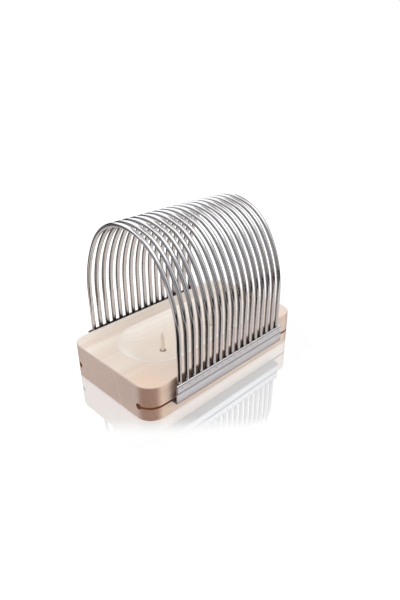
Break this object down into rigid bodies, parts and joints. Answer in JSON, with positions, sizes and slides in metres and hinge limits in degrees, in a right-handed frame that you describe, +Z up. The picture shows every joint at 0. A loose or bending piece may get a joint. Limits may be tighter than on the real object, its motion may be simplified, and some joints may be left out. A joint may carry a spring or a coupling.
{
  "type": "hasselback potato slicer",
  "caption": "Wooden board with an oval dish and spikes for a potato, under a sliding cage of steel wire hoops that guide a knife down in even slices.",
  "frame": {"origin": "centre of the board's underside", "axes": "+X across the board to its right long side, +Y along the board to its back end, +Z up"},
  "size_m": [0.1142, 0.175, 0.1358],
  "materials": {
    "wood": "fine-sanded pale beech, lightly oiled",
    "spike_steel": "turned stainless steel",
    "wire_steel": "polished stainless wire",
    "rail_steel": "satin stainless sheet"
  },
  "bodies": {
    "board": {"board": "wood", "spike_front": "spike_steel", "spike_back": "spike_steel"},
    "cage": {"rail_left": "rail_steel", "rail_right": "rail_steel", "hoop_01": "wire_steel", "hoop_02": "wire_steel", "hoop_03": "wire_steel", "hoop_04": "wire_steel", "hoop_05": "wire_steel", "hoop_06": "wire_steel", "hoop_07": "wire_steel", "hoop_08": "wire_steel", "hoop_09": "wire_steel", "hoop_10": "wire_steel", "hoop_11": "wire_steel", "hoop_12": "wire_steel", "hoop_13": "wire_steel", "hoop_14": "wire_steel", "hoop_15": "wire_steel", "hoop_16": "wire_steel", "hoop_17": "wire_steel"}
  },
  "joints": [
    {"name": "cage_slide", "type": "slide", "parent": "board", "child": "cage", "axis": [0, 1, 0], "range_m": [-0.147, 0.154]}
  ]
}
